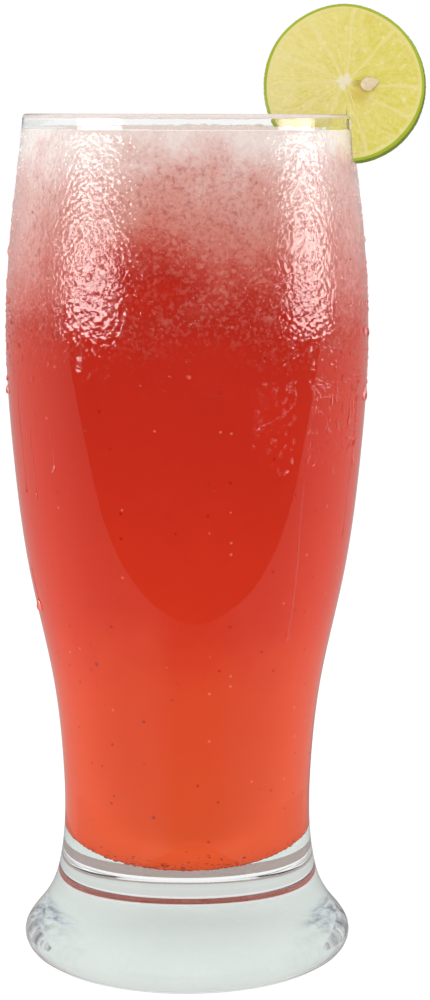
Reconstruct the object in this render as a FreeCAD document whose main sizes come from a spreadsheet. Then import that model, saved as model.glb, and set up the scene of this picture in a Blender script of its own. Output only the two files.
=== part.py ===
import FreeCAD, Part
import math
import os
import Sketcher

# A glass of lemonade: a footed beer glass of clear soda glass, filled almost to
# the lip with cloudy red lemonade under a layer of froth, with a wheel of lime
# slit onto the rim. Millimetres. +Z is up, the origin is on the glass's axis in
# the plane that the foot stands on, and the lime sits on the +X side of the rim.

V = FreeCAD.Vector
doc = FreeCAD.newDocument("glass_of_lemonade")

# ---------------------------------------------------------------- dimensions
sheet = doc.addObject("Spreadsheet::Sheet", "Sizes")
row = [0]


def size(alias, value, note):
    """One driving dimension: a name, a plain number and what it is."""
    row[0] += 1
    sheet.set("A%d" % row[0], note)
    sheet.set("B%d" % row[0], repr(value))
    sheet.setAlias("B%d" % row[0], alias)
    return value


# Outside of the glass, from the ring that it stands on up to the lip. Each pair
# is a radius and a height that steer the curve of the wall.
OUTER = [
    ("ring", 36.25, 0.0, "outer edge of the standing ring"),
    ("toe", 36.6, 0.0, "under the foot's edge"),
    ("heel", 38.4, 0.2, "rounding of the foot's edge"),
    ("foot", 40.55, 4.35, "widest part of the foot"),
    ("instep", 36.2, 8.8, "top of the foot's flare"),
    ("ankle", 32.45, 14.5, "sweep from the foot to the stem"),
    ("shin", 30.5, 22.0, "level of the thick floor"),
    ("waist", 29.4, 32.5, "narrowest part"),
    ("calf", 29.9, 47.0, "above the waist"),
    ("knee", 31.7, 67.5, "start of the swelling"),
    ("thigh", 38.2, 92.5, "lower half of the swelling"),
    ("hip", 41.15, 119.0, "below the belly"),
    ("belly", 43.05, 145.0, "widest part of the bowl"),
    ("chest", 42.0, 167.0, "above the belly"),
    ("shoulder", 39.75, 185.0, "where the wall draws in"),
    ("collar", 38.25, 197.3, "just under the lip"),
    ("lip", 38.2, 199.0, "where the rounded lip starts"),
]
# Inside of the glass, from the lip down to the middle of its floor.
INNER = [
    ("in_lip", 36.2, 199.0, "where the rounded lip ends"),
    ("in_collar", 36.25, 197.3, "just under the lip"),
    ("in_shoulder", 37.55, 185.0, "where the wall draws in"),
    ("in_chest", 39.7, 167.0, "above the belly"),
    ("in_belly", 40.65, 145.0, "widest part of the inside"),
    ("in_hip", 38.7, 119.0, "below the belly"),
    ("in_thigh", 35.6, 92.5, "lower half of the swelling"),
    ("in_knee", 28.8, 67.5, "start of the swelling"),
    ("in_calf", 26.9, 47.0, "above the waist"),
    ("in_waist", 26.0, 37.6, "where the inside starts to close"),
    ("in_turn", 23.6, 29.8, "side of the bowl-shaped bottom"),
    ("in_floor", 19.0, 24.5, "where the bowl levels out"),
    ("in_dish", 10.0, 21.8, "the bowl's flat middle"),
    ("in_middle", 0.0, 21.8, "lowest point of the inside"),
]
for name, r, z, note in OUTER + INNER:
    if r > 0:
        size(name + "_r", r, note + ", radius")
    if z > 0:
        size(name + "_z", z, note + ", height")

punt_r = size("punt_r", 30.5, "inner edge of the standing ring, radius")
punt_rise = size("punt_rise", 2.2, "rise of the hollow under the foot")

drink_level = size("drink_level", 180.0, "top of the clear red drink, under its froth")
froth_edge = size("froth_edge", 196.5, "top of the froth where it meets the wall")
froth_crown = size("froth_crown", 0.4, "how far the froth stands up at its middle")
froth_reach = size("froth_reach", 60.0, "radius of the slab that the froth is cut from")

slice_r = size("slice_r", 18.6, "lime wheel, mean radius")
slice_thick = size("slice_thick", 4.8, "lime wheel, thickness")
slit_w = size("slit_w", 3.1, "slit in the lime wheel, width")
slit_top = size("slit_top", 6.35, "slit's blind end, below the wheel's middle")
slit_run = size("slit_run", 16.0, "slit's length, past the rind")
slit_turn = size("slit_turn", 6.0, "slit, degrees from straight down")
seat_r = size("seat_r", 37.2, "middle of the slit at the lip, radius")
seat_turn = size("seat_turn", 9.0, "lime round the rim from +X towards -Y, degrees")
slice_lean = size("slice_lean", 9.0, "lime leaning back, degrees")
slice_shift = size("slice_shift", 0.70, "wheel's middle inwards of the lip")
doc.recompute()

# The wheel isn't quite round: its outline's control radii, as parts of slice_r.
LOBES = [0.988, 0.957, 0.940, 0.972, 0.968, 0.996, 0.991, 1.016, 1.018, 0.960, 1.000, 1.006]


# ------------------------------------------------------------------- helpers
def plane(body, role):
    for feature in body.Origin.OriginFeatures:
        if feature.Role == role:
            return feature
    raise RuntimeError("no " + role)


def sketch_on(body, name, role="XZ_Plane"):
    sk = body.newObject("Sketcher::SketchObject", name)
    sk.AttachmentSupport = [(plane(body, role), "")]
    sk.MapMode = "FlatFace"
    return sk


def knot_values(points):
    """Knots of a clamped cubic: running means of the polygon's length."""
    run = [0.0]
    for a, b in zip(points, points[1:]):
        run.append(run[-1] + (b - a).Length)
    inner = [sum(run[i + 1:i + 4]) / 3.0 for i in range(len(points) - 4)]
    return [0.0] + inner + [run[-1]]


def cubic(points):
    knots = knot_values(points)
    mults = [4] + [1] * (len(knots) - 2) + [4]
    curve = Part.BSplineCurve()
    curve.buildFromPolesMultsKnots(points, mults, knots, False, 3)
    return curve


def hold(sk, geo, pos, r_name, z_name, r=None, z=None):
    """Ties a point's radius and height to the sheet, or to an axis where it is 0."""
    if r_name:
        c = sk.addConstraint(Sketcher.Constraint("DistanceX", -1, 1, geo, pos, r))
        sk.renameConstraint(c, "%s_x%d" % (r_name, c))
        sk.setExpression("Constraints.%s_x%d" % (r_name, c), "Sizes." + r_name)
    else:
        sk.addConstraint(Sketcher.Constraint("PointOnObject", geo, pos, -2))
    if z_name:
        c = sk.addConstraint(Sketcher.Constraint("DistanceY", -1, 1, geo, pos, z))
        sk.renameConstraint(c, "%s_y%d" % (z_name, c))
        sk.setExpression("Constraints.%s_y%d" % (z_name, c), "Sizes." + z_name)
    else:
        sk.addConstraint(Sketcher.Constraint("PointOnObject", geo, pos, -1))


def wall_curve(sk, stations):
    """A cubic through the sketch whose control points are the named sizes."""
    points = [V(r, z, 0) for _, r, z, _ in stations]
    geo = sk.addGeometry(cubic(points), False)
    first = sk.GeometryCount
    sk.exposeInternalGeometry(geo)
    for i, (name, r, z, _) in enumerate(stations):
        hold(sk, first + i, 3, name + "_r" if r > 0 else "", name + "_z" if z > 0 else "", r, z)
    return geo


def revolve(body, sk, name):
    rev = body.newObject("PartDesign::Revolution", name)
    rev.Profile = sk
    rev.ReferenceAxis = (sk, ["V_Axis"])
    rev.Angle = 360.0
    body.Tip = rev
    return rev


# --------------------------------------------------------------------- glass
glass = doc.addObject("PartDesign::Body", "Glass")
sk = sketch_on(glass, "GlassSection")
outer = wall_curve(sk, OUTER)
inner = wall_curve(sk, INNER)
lip_r, lip_z, in_lip_r = OUTER[-1][1], OUTER[-1][2], INNER[0][1]
mid, half = (lip_r + in_lip_r) / 2, (lip_r - in_lip_r) / 2
lip = sk.addGeometry(Part.ArcOfCircle(Part.Circle(V(mid, lip_z, 0), V(0, 0, 1), half), 0, math.pi), False)
sk.addConstraint(Sketcher.Constraint("Coincident", lip, 1, outer, 2))
sk.addConstraint(Sketcher.Constraint("Coincident", lip, 2, inner, 1))
c = sk.addConstraint(Sketcher.Constraint("DistanceY", -1, 1, lip, 3, lip_z))
sk.renameConstraint(c, "lip_middle")
sk.setExpression("Constraints.lip_middle", "Sizes.lip_z")
drop = (punt_r ** 2 - punt_rise ** 2) / (2 * punt_rise)
big = drop + punt_rise
axis_line = sk.addGeometry(Part.LineSegment(V(0, INNER[-1][2], 0), V(0, punt_rise, 0)), False)
sk.addConstraint(Sketcher.Constraint("Coincident", axis_line, 1, inner, 2))
hold(sk, axis_line, 2, "", "punt_rise", 0, punt_rise)
start = math.atan2(drop, punt_r)
punt = sk.addGeometry(Part.ArcOfCircle(Part.Circle(V(0, -drop, 0), V(0, 0, 1), big), start, math.pi / 2), False)
sk.addConstraint(Sketcher.Constraint("Coincident", punt, 2, axis_line, 2))
hold(sk, punt, 1, "punt_r", "", punt_r, 0)
sk.addConstraint(Sketcher.Constraint("PointOnObject", punt, 3, -2))
ring = sk.addGeometry(Part.LineSegment(V(punt_r, 0, 0), V(OUTER[0][1], 0, 0)), False)
sk.addConstraint(Sketcher.Constraint("Coincident", ring, 1, punt, 1))
sk.addConstraint(Sketcher.Constraint("Coincident", ring, 2, outer, 1))
doc.recompute()
revolve(glass, sk, "GlassTurned")
glass.Label = "glass"
doc.recompute()

# -------------------------------------------- room inside, filled by the drink
room = doc.addObject("PartDesign::Body", "Room")
sk = sketch_on(room, "RoomSection")
wall = wall_curve(sk, INNER)
top = sk.addGeometry(Part.LineSegment(V(0, lip_z, 0), V(in_lip_r, lip_z, 0)), False)
sk.addConstraint(Sketcher.Constraint("Coincident", top, 2, wall, 1))
hold(sk, top, 1, "", "in_lip_z", 0, lip_z)
axis_line = sk.addGeometry(Part.LineSegment(V(0, INNER[-1][2], 0), V(0, lip_z, 0)), False)
sk.addConstraint(Sketcher.Constraint("Coincident", axis_line, 1, wall, 2))
sk.addConstraint(Sketcher.Constraint("Coincident", axis_line, 2, top, 1))
doc.recompute()
revolve(room, sk, "RoomTurned")
room.Label = "room"
doc.recompute()

# ---------------------------------------------------------------- lime wheel
# Drawn about its own middle in its own XZ plane, then set on the rim: the slit
# lies along the wall, the wheel stands radially and leans back on the lip.
lime = doc.addObject("PartDesign::Body", "LimeWheel")
blank = doc.addObject("PartDesign::Body", "LimeBlank")


def wheel_outline(body, name):
    """A closed cubic through twelve control points round the wheel."""
    sk = sketch_on(body, name)
    n = len(LOBES)
    # a ring of control points lies outside its curve by this factor
    out = 3.0 / (2.0 + math.cos(2 * math.pi / n))
    points = []
    for i, lobe in enumerate(LOBES):
        a = 2 * math.pi * i / n
        points.append(V(slice_r * lobe * out * math.cos(a), slice_r * lobe * out * math.sin(a), 0))
    curve = Part.BSplineCurve()
    curve.buildFromPolesMultsKnots(points, [1] * (n + 1), [float(i) for i in range(n + 1)], True, 3)
    geo = sk.addGeometry(curve, False)
    first = sk.GeometryCount
    sk.exposeInternalGeometry(geo)
    for i, lobe in enumerate(LOBES):
        a = 360.0 * i / n
        for kind, fn in (("DistanceX", "cos"), ("DistanceY", "sin")):
            value = points[i].x if kind == "DistanceX" else points[i].y
            if abs(value) < 1e-6:
                sk.addConstraint(Sketcher.Constraint("PointOnObject", first + i, 3, -2 if kind == "DistanceX" else -1))
                continue
            k = value / slice_r
            if value > 0:
                c = sk.addConstraint(Sketcher.Constraint(kind, -1, 1, first + i, 3, value))
            else:
                c = sk.addConstraint(Sketcher.Constraint(kind, first + i, 3, -1, 1, -value))
            label = "%s%02d" % (fn, i)
            sk.renameConstraint(c, label)
            sk.setExpression("Constraints." + label, "Sizes.slice_r * %.9f" % abs(k))
    doc.recompute()
    pad = body.newObject("PartDesign::Pad", name + "Pad")
    pad.Profile = sk
    pad.Midplane = True
    pad.Length = slice_thick
    pad.setExpression("Length", "Sizes.slice_thick")
    body.Tip = pad
    doc.recompute()
    return pad


wheel_outline(lime, "WheelOutline")
full_volume = lime.Shape.Volume
sk = sketch_on(lime, "SlitOutline")
turn = math.radians(slit_turn)
down = V(math.sin(turn), -math.cos(turn), 0)
side = V(math.cos(turn), math.sin(turn), 0)
a = down * slit_top - side * (slit_w / 2)
b = a + side * slit_w
c = b + down * slit_run
d = a + down * slit_run
corners = [a, b, c, d]
lines = [sk.addGeometry(Part.LineSegment(corners[i], corners[(i + 1) % 4]), False) for i in range(4)]
for i in range(4):
    sk.addConstraint(Sketcher.Constraint("Coincident", lines[i], 2, lines[(i + 1) % 4], 1))
sk.addConstraint(Sketcher.Constraint("Perpendicular", lines[0], lines[1]))
sk.addConstraint(Sketcher.Constraint("Perpendicular", lines[1], lines[2]))
sk.addConstraint(Sketcher.Constraint("Perpendicular", lines[2], lines[3]))
w = sk.addConstraint(Sketcher.Constraint("Distance", lines[0], slit_w))
sk.renameConstraint(w, "slit_width")
sk.setExpression("Constraints.slit_width", "Sizes.slit_w")
w = sk.addConstraint(Sketcher.Constraint("Distance", lines[1], slit_run))
sk.renameConstraint(w, "slit_length")
sk.setExpression("Constraints.slit_length", "Sizes.slit_run")
for name, point, value in (("a_x", 1, a.x), ("a_y", 1, a.y)):
    kind = "DistanceX" if name.endswith("x") else "DistanceY"
    if value > 0:
        w = sk.addConstraint(Sketcher.Constraint(kind, -1, 1, lines[0], point, value))
        sign = ""
    else:
        w = sk.addConstraint(Sketcher.Constraint(kind, lines[0], point, -1, 1, -value))
        sign = "-1 * "
    sk.renameConstraint(w, "slit_" + name)
    if kind == "DistanceX":
        rule = "(Sizes.slit_top * sin(Sizes.slit_turn) - Sizes.slit_w / 2 * cos(Sizes.slit_turn))"
    else:
        rule = "(-1 * Sizes.slit_top * cos(Sizes.slit_turn) - Sizes.slit_w / 2 * sin(Sizes.slit_turn))"
    sk.setExpression("Constraints.slit_" + name, sign + rule)
w = sk.addConstraint(Sketcher.Constraint("Angle", lines[0], slit_turn * math.pi / 180))
sk.renameConstraint(w, "slit_angle")
sk.setExpression("Constraints.slit_angle", "Sizes.slit_turn * 1 deg")
doc.recompute()
slit = lime.newObject("PartDesign::Pocket", "Slit")
slit.Profile = sk
slit.Midplane = True
slit.Length = slice_thick + 4
slit.setExpression("Length", "Sizes.slice_thick + 4")
lime.Tip = slit
doc.recompute()
if lime.Shape.Volume > full_volume - 50:
    raise RuntimeError("the slit cuts nothing")
lime.Label = "lime_slice"
wheel_outline(blank, "BlankOutline")
blank.Label = "lime_blank"

# Seat on the lip: lean about the radial line through the lip, then turn round
# the glass's axis.
lean = FreeCAD.Rotation(V(1, 0, 0), -slice_lean)
spin = FreeCAD.Rotation(V(0, 0, 1), -seat_turn)
lip_top = lip_z + half
turned = math.radians(slit_turn)
clear = slice_thick / 2 * math.tan(math.radians(slice_lean)) + 0.05
middle = V(-slice_shift, 0, slit_top * math.cos(turned) + slit_w / 2 * math.sin(turned) + clear)
seat = FreeCAD.Placement(spin.multVec(V(seat_r, 0, 0) + lean.multVec(middle)) + V(0, 0, lip_top), spin.multiply(lean))
for body in (lime, blank):
    body.Placement = seat
doc.recompute()

# ------------------------------------------------------------ drink and froth
level = doc.addObject("Part::Cylinder", "DrinkLevel")
level.setExpression("Radius", "Sizes.froth_reach")
level.setExpression("Height", "Sizes.drink_level")
drink = doc.addObject("Part::Common", "Drink")
drink.Base = room
drink.Tool = level
drink.Label = "drink"

slab = doc.addObject("PartDesign::Body", "FrothSlab")
sk = sketch_on(slab, "FrothSection")
rim_in = in_lip_r
rise = (rim_in ** 2 - froth_crown ** 2) / (2 * froth_crown)
rad = rise + froth_crown
crown_z = froth_edge + froth_crown
cz = crown_z - rad
reach = froth_reach
edge_z = cz + math.sqrt(rad ** 2 - reach ** 2)
crown = sk.addGeometry(
    Part.ArcOfCircle(Part.Circle(V(0, cz, 0), V(0, 0, 1), rad), math.atan2(edge_z - cz, reach), math.pi / 2), False)
edge = sk.addGeometry(Part.LineSegment(V(reach, drink_level, 0), V(reach, edge_z, 0)), False)
base = sk.addGeometry(Part.LineSegment(V(0, drink_level, 0), V(reach, drink_level, 0)), False)
mid_line = sk.addGeometry(Part.LineSegment(V(0, crown_z, 0), V(0, drink_level, 0)), False)
for g1, p1, g2, p2 in ((crown, 2, mid_line, 1), (mid_line, 2, base, 1), (base, 2, edge, 1), (edge, 2, crown, 1)):
    sk.addConstraint(Sketcher.Constraint("Coincident", g1, p1, g2, p2))
sk.addConstraint(Sketcher.Constraint("Vertical", edge))
sk.addConstraint(Sketcher.Constraint("PointOnObject", crown, 3, -2))
hold(sk, base, 1, "", "drink_level", 0, drink_level)
hold(sk, base, 2, "froth_reach", "drink_level", reach, drink_level)
w = sk.addConstraint(Sketcher.Constraint("DistanceY", -1, 1, crown, 2, crown_z))
sk.renameConstraint(w, "crown_top")
sk.setExpression("Constraints.crown_top", "Sizes.froth_edge + Sizes.froth_crown")
w = sk.addConstraint(Sketcher.Constraint("DistanceY", crown, 3, -1, 1, -cz))
sk.renameConstraint(w, "crown_middle")
sk.setExpression(
    "Constraints.crown_middle",
    "(Sizes.in_lip_r ^ 2 - Sizes.froth_crown ^ 2) / (2 * Sizes.froth_crown) - Sizes.froth_edge")
doc.recompute()
revolve(slab, sk, "FrothTurned")
slab.Label = "froth_slab"
doc.recompute()
layer = doc.addObject("Part::Common", "FrothLayer")
layer.Base = room
layer.Tool = slab
layer.Label = "froth_layer"
doc.recompute()
foam = doc.addObject("Part::Cut", "Froth")
foam.Base = layer
foam.Tool = blank
foam.Label = "foam"
doc.recompute()

# ---------------------------------------------------------------- check, write
for obj in doc.Objects:
    bad = [s for s in obj.State if s in ("Invalid", "Error")]
    if bad:
        if obj.TypeId == "Sketcher::SketchObject":
            print(obj.Name, "redundant", obj.RedundantConstraints, "conflicting", obj.ConflictingConstraints)
        raise RuntimeError("%s is %s" % (obj.Name, bad))

os.makedirs("parts", exist_ok=True)
parts = [glass, drink, foam, lime]
for obj in parts:
    shape = obj.Shape
    if shape.isNull() or not shape.isValid() or len(shape.Solids) != 1:
        raise RuntimeError("%s has no single valid solid (%d)" % (obj.Label, len(shape.Solids)))
for obj in parts:
    solid = obj.Shape.Solids[0]
    box = solid.BoundBox
    print("%-11s %9.1f mm3  X %.2f..%.2f  Y %.2f..%.2f  Z %.2f..%.2f" % (
        obj.Label, solid.Volume, box.XMin, box.XMax, box.YMin, box.YMax, box.ZMin, box.ZMax))
    solid.exportStep("parts/%s.step" % obj.Label)
for i, p in enumerate(parts):
    for q in parts[i + 1:]:
        both = p.Shape.common(q.Shape)
        print("%s and %s share %.4f mm3" % (p.Label, q.Label, both.Volume))
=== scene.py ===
import bmesh
import bpy
import math
import numpy as np
from mathutils import Vector, Matrix, Euler


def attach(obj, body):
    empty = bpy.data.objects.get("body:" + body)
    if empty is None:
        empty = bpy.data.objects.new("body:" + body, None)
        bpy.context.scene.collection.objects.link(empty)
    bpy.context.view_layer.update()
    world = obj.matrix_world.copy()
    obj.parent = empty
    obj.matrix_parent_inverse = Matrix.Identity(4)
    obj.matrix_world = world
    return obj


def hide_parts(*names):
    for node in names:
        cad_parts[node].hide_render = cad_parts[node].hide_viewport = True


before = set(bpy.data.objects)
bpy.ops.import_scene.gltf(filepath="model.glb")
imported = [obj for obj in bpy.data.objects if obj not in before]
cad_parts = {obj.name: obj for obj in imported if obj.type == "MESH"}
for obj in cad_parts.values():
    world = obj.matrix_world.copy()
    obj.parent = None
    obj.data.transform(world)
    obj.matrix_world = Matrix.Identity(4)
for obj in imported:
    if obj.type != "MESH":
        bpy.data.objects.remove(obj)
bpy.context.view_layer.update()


MM = 0.001
rng = np.random.default_rng(20)

# ------------------------------------------------------------------ profiles
# The glass's wall, as the same named sizes as the CAD sections (mm: radius, height).
OUTER = [(36.25, 0.0), (36.6, 0.0), (38.4, 0.2), (40.55, 4.35), (36.2, 8.8), (32.45, 14.5), (30.5, 22.0),
         (29.4, 32.5), (29.9, 47.0), (31.7, 67.5), (38.2, 92.5), (41.15, 119.0), (43.05, 145.0), (42.0, 167.0),
         (39.75, 185.0), (38.25, 197.3), (38.2, 199.0)]
INNER = [(36.2, 199.0), (36.25, 197.3), (37.55, 185.0), (39.7, 167.0), (40.65, 145.0), (38.7, 119.0),
         (35.6, 92.5), (28.8, 67.5), (26.9, 47.0), (26.0, 37.6), (23.6, 29.8), (19.0, 24.5), (10.0, 21.8), (0.0, 21.8)]
PUNT_R, PUNT_RISE = 30.5, 2.2
FROTH_Z, LIP_TOP = 196.5, 200.0
SEG = 224


def cubic(points, n):
    """Points along the clamped cubic B-spline that these control points steer."""
    P = np.array(points, float)
    run = np.concatenate([[0], np.cumsum(np.linalg.norm(np.diff(P, axis=0), axis=1))])
    m = len(P)
    t = np.concatenate([[0] * 4, [run[j + 1:j + 4].mean() for j in range(m - 4)], [run[-1]] * 4])
    out = []
    for u in np.linspace(0, t[-1] - 1e-9, n):
        k = int(np.searchsorted(t, u, side="right") - 1)
        k = min(max(k, 3), m - 1)
        d = [P[j + k - 3].copy() for j in range(4)]
        for r in range(1, 4):
            for j in range(3, r - 1, -1):
                i = j + k - 3
                a = (u - t[i]) / (t[i + 4 - r] - t[i])
                d[j] = (1 - a) * d[j - 1] + a * d[j]
        out.append(d[3])
    return np.array(out)


outer_c = cubic(OUTER, 170)
inner_c = cubic(INNER, 150)
# radius of the outside and of the inside at a height
OZ, OR_ = outer_c[12:, 1], outer_c[12:, 0]
keep = inner_c[:, 1] > 24.0
IZ, IR_ = inner_c[keep][::-1, 1], inner_c[keep][::-1, 0]


def r_out(z):
    return np.interp(z, OZ, OR_)


def r_in(z):
    return np.interp(z, IZ, IR_)


def step01(x, lo, hi):
    t = np.clip((x - lo) / (hi - lo), 0, 1)
    return t * t * (3 - 2 * t)


# --------------------------------------------------------------- mesh helpers
def new_object(name, verts, faces, smooth=True):
    mesh = bpy.data.meshes.new(name)
    mesh.from_pydata([tuple(v) for v in verts], [], [tuple(f) for f in faces])
    mesh.validate()
    ob = bpy.data.objects.new(name, mesh)
    bpy.context.scene.collection.objects.link(ob)
    if smooth:
        mesh.shade_smooth()
        mesh.set_sharp_from_angle(angle=math.radians(38))
    return ob


def lathe(name, prof, seg=SEG, scale=MM):
    """A closed body of revolution from a profile that starts and ends on the axis."""
    prof = np.array(prof, float)
    ring = prof[1:-1]
    a = np.arange(seg) * 2 * math.pi / seg
    x = ring[:, 0][:, None] * np.cos(a)
    y = ring[:, 0][:, None] * np.sin(a)
    z = np.repeat(ring[:, 1][:, None], seg, 1)
    verts = np.stack([x, y, z], -1).reshape(-1, 3) * scale
    n = len(ring)
    first, last = len(verts), len(verts) + 1
    verts = np.vstack([verts, [[0, 0, prof[0, 1] * scale], [0, 0, prof[-1, 1] * scale]]])
    faces = []
    for i in range(n - 1):
        for j in range(seg):
            k = (j + 1) % seg
            faces.append((i * seg + j, i * seg + k, (i + 1) * seg + k, (i + 1) * seg + j))
    for j in range(seg):
        k = (j + 1) % seg
        faces.append((first, k, j))
        faces.append((last, (n - 1) * seg + j, (n - 1) * seg + k))
    return new_object(name, verts, faces)


# ------------------------------------------------------------- node utilities
class Nodes:
    """Short names for building a material's nodes."""

    def __init__(self, name):
        self.mat = bpy.data.materials.new(name)
        self.mat.use_nodes = True
        self.nt = self.mat.node_tree
        self.nt.nodes.clear()
        self.out = self.nt.nodes.new("ShaderNodeOutputMaterial")

    def add(self, kind, **props):
        node = self.nt.nodes.new(kind)
        for k, v in props.items():
            setattr(node, k, v)
        return node

    def link(self, a, b):
        self.nt.links.new(a, b)

    def math(self, op, a, b=None, clamp=False):
        n = self.add("ShaderNodeMath", operation=op, use_clamp=clamp)
        for i, v in enumerate((a, b)):
            if v is None:
                continue
            if isinstance(v, (int, float)):
                n.inputs[i].default_value = v
            else:
                self.link(v, n.inputs[i])
        return n.outputs[0]

    def coords(self):
        return self.add("ShaderNodeTexCoord").outputs["Object"]

    def xyz(self, vec):
        n = self.add("ShaderNodeSeparateXYZ")
        self.link(vec, n.inputs[0])
        return n.outputs

    def rgb(self, col):
        n = self.add("ShaderNodeSeparateColor")
        self.link(col, n.inputs[0])
        return n.outputs

    def noise(self, vec, scale, detail=4.0, rough=0.5, distort=0.0):
        n = self.add("ShaderNodeTexNoise")
        n.inputs["Scale"].default_value = scale
        n.inputs["Detail"].default_value = detail
        n.inputs["Roughness"].default_value = rough
        n.inputs["Distortion"].default_value = distort
        self.link(vec, n.inputs["Vector"])
        return n.outputs["Fac"]

    def voronoi(self, vec, scale, feature="F1", out="Distance", randomness=1.0):
        n = self.add("ShaderNodeTexVoronoi", feature=feature)
        n.inputs["Scale"].default_value = scale
        n.inputs["Randomness"].default_value = randomness
        self.link(vec, n.inputs["Vector"])
        return n.outputs[out]

    def shifted(self, vec, scale, amount):
        """Coordinates pushed about by a noise, so that cells turn into squiggles."""
        n = self.add("ShaderNodeTexNoise")
        n.inputs["Scale"].default_value = scale * 60
        n.inputs["Detail"].default_value = 2.0
        self.link(vec, n.inputs["Vector"])
        off = self.add("ShaderNodeVectorMath", operation="SCALE")
        self.link(n.outputs["Color"], off.inputs[0])
        off.inputs["Scale"].default_value = amount
        both = self.add("ShaderNodeVectorMath", operation="ADD")
        self.link(vec, both.inputs[0])
        self.link(off.outputs[0], both.inputs[1])
        return both.outputs[0]

    def ramp(self, fac, stops, interp="LINEAR"):
        n = self.add("ShaderNodeValToRGB")
        n.color_ramp.interpolation = interp
        els = n.color_ramp.elements
        while len(els) > 1:
            els.remove(els[-1])
        els[0].position = stops[0][0]
        els[0].color = (*stops[0][1], 1)
        for p, c in stops[1:]:
            e = els.new(p)
            e.color = (*c, 1)
        self.link(fac, n.inputs[0])
        return n.outputs[0]

    def mix(self, fac, a, b, blend="MIX"):
        n = self.add("ShaderNodeMix", data_type="RGBA", blend_type=blend)
        n.clamp_factor = True
        for sock, v in ((n.inputs[0], fac), (n.inputs[6], a), (n.inputs[7], b)):
            if isinstance(v, (int, float)):
                sock.default_value = v
            elif isinstance(v, tuple):
                sock.default_value = (*v, 1) if len(v) == 3 else v
            else:
                self.link(v, sock)
        return n.outputs[2]

    def span(self, value, lo, hi, a=0.0, b=1.0, smooth=False):
        n = self.add("ShaderNodeMapRange")
        n.interpolation_type = "SMOOTHSTEP" if smooth else "LINEAR"
        n.clamp = True
        self.link(value, n.inputs["Value"])
        for name, v in (("From Min", lo), ("From Max", hi), ("To Min", a), ("To Max", b)):
            n.inputs[name].default_value = v
        return n.outputs[0]

    def bump(self, height, strength=1.0, distance=0.001, normal=None):
        n = self.add("ShaderNodeBump")
        n.inputs["Strength"].default_value = strength
        n.inputs["Distance"].default_value = distance
        self.link(height, n.inputs["Height"])
        if normal is not None:
            self.link(normal, n.inputs["Normal"])
        return n.outputs[0]

    def principled(self, **values):
        n = self.add("ShaderNodeBsdfPrincipled")
        for k, v in values.items():
            k = k.replace("_", " ")
            if isinstance(v, (int, float)):
                n.inputs[k].default_value = v
            elif isinstance(v, tuple):
                n.inputs[k].default_value = (*v, 1) if len(v) == 3 else v
            else:
                self.link(v, n.inputs[k])
        return n


def lin(r, g, b):
    """Linear colour from the 0-255 numbers that a screen shows."""
    out = []
    for c in (r, g, b):
        c = c / 255.0
        out.append(c / 12.92 if c <= 0.04045 else ((c + 0.055) / 1.055) ** 2.4)
    return tuple(out)


def light_passes(m, shader):
    """Rays on their way to a lamp, and soft rays from what is inside, go straight
    through the clear piece, so that what it holds is lit."""
    path = m.add("ShaderNodeLightPath")
    fac = m.math("MAXIMUM", path.outputs["Is Shadow Ray"], path.outputs["Is Diffuse Ray"])
    clear = m.add("ShaderNodeBsdfTransparent")
    mix = m.add("ShaderNodeMixShader")
    m.link(fac, mix.inputs[0])
    m.link(shader, mix.inputs[1])
    m.link(clear.outputs[0], mix.inputs[2])
    m.link(mix.outputs[0], m.out.inputs["Surface"])


# ------------------------------------------------------------------ materials
def glass_material(name="clear_glass", ior=1.5):
    m = Nodes(name)
    co = m.coords()
    z = m.xyz(co)[2]
    # fine dew between the drops: beads under half a millimetre, thinning out downwards
    dewy = m.math("MULTIPLY", m.span(z, 0.1395, 0.1425, 0, 1, True), m.span(z, 0.1955, 0.1965, 1, 0))
    beads = m.voronoi(co, 2300.0)
    bead = m.span(beads, 0.0, 0.62, 1.0, 0.0, True)
    clots = m.voronoi(m.shifted(co, 6.0, 0.0016), 1000.0, "SMOOTH_F1")
    patch = m.span(m.noise(co, 90.0, 3.0), 0.35, 0.6)
    dew = m.math("MULTIPLY", m.math("MULTIPLY", bead, m.math("MULTIPLY", dewy, m.span(z, 0.148, 0.166, 0.0, 1.0, True))),
                 m.math("ADD", m.math("MULTIPLY", patch, 0.5), 0.5))
    film = m.math("MULTIPLY", m.math("MULTIPLY", clots, dewy), m.span(z, 0.1485, 0.1525, 0.0, 1.0))
    # the slow waviness of pressed glass, and faint turning marks under the lip
    wave = m.noise(co, 28.0, 2.0)
    marks = m.math("MULTIPLY", m.math("SINE", m.math("MULTIPLY", z, 4340.0)), m.span(z, 0.190, 0.193, 0.0, 1.0))
    n1 = m.bump(wave, 0.10, 0.0010)
    n1 = m.bump(marks, 1.0, 0.0000030, n1)
    n1 = m.bump(film, 0.36, 0.00040, n1)
    n2 = m.bump(dew, 0.26, 0.00012, n1)
    tint = m.mix(m.noise(co, 9.0, 2.0), (0.975, 0.992, 0.984), (0.982, 0.995, 0.989))
    p = m.principled(Base_Color=tint, Roughness=0.0, IOR=ior, Transmission_Weight=1.0)
    m.link(n2, p.inputs["Normal"])
    # the fire-polished lip gets a painted pale pinkish band: a milky colour mixed over its top stands for the highlight
    # along it
    painted_lip_band = m.principled(Base_Color=m.mix(m.noise(co, 60.0, 2.0), lin(240, 228, 222), lin(232, 216, 209)), Roughness=0.35)
    lip_mix = m.add("ShaderNodeMixShader")
    m.link(m.span(z, 0.1987, 0.1994, 0.0, 0.45, True), lip_mix.inputs[0])
    m.link(p.outputs[0], lip_mix.inputs[1])
    m.link(painted_lip_band.outputs[0], lip_mix.inputs[2])
    light_passes(m, lip_mix.outputs[0])
    return m.mat


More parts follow.
